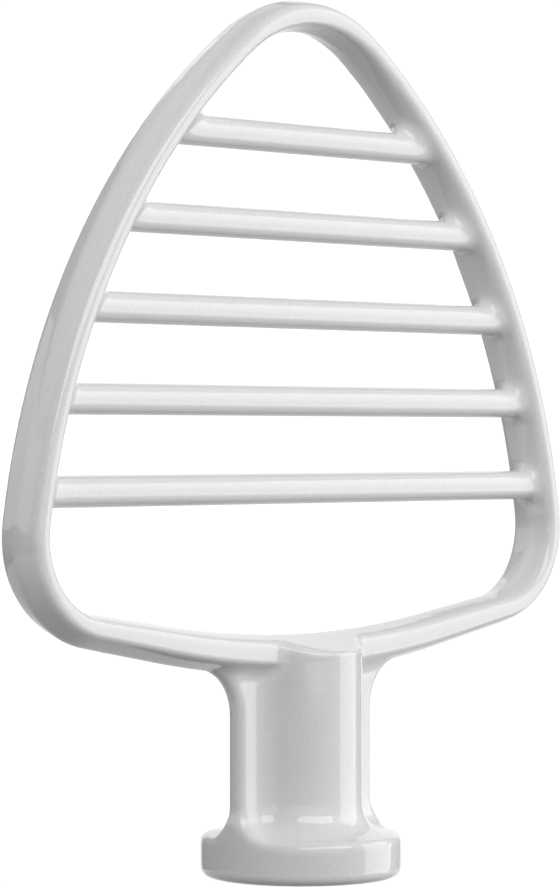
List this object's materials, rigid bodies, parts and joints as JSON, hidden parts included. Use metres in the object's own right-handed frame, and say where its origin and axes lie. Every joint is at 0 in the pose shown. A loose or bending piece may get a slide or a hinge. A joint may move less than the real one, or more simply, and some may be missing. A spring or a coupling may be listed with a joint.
{
  "type": "pastry beater",
  "caption": "Flat rounded triangular frame with round cross bars on a ribbed stem and collared hub, turned by a stand mixer to cut fat into flour.",
  "frame": {"origin": "centre of the hub's flat face, on the axis of the shaft bore", "axes": "+Z along the shaft axis from the hub to the frame's apex, X along the cross bars, front of the frame towards -Y"},
  "size_m": [0.1544, 0.04, 0.1735],
  "materials": {
    "gloss_coating": "smooth glossy white coating over an aluminium casting"
  },
  "bodies": {
    "root": {"pastry_beater": "gloss_coating"}
  },
  "joints": []
}
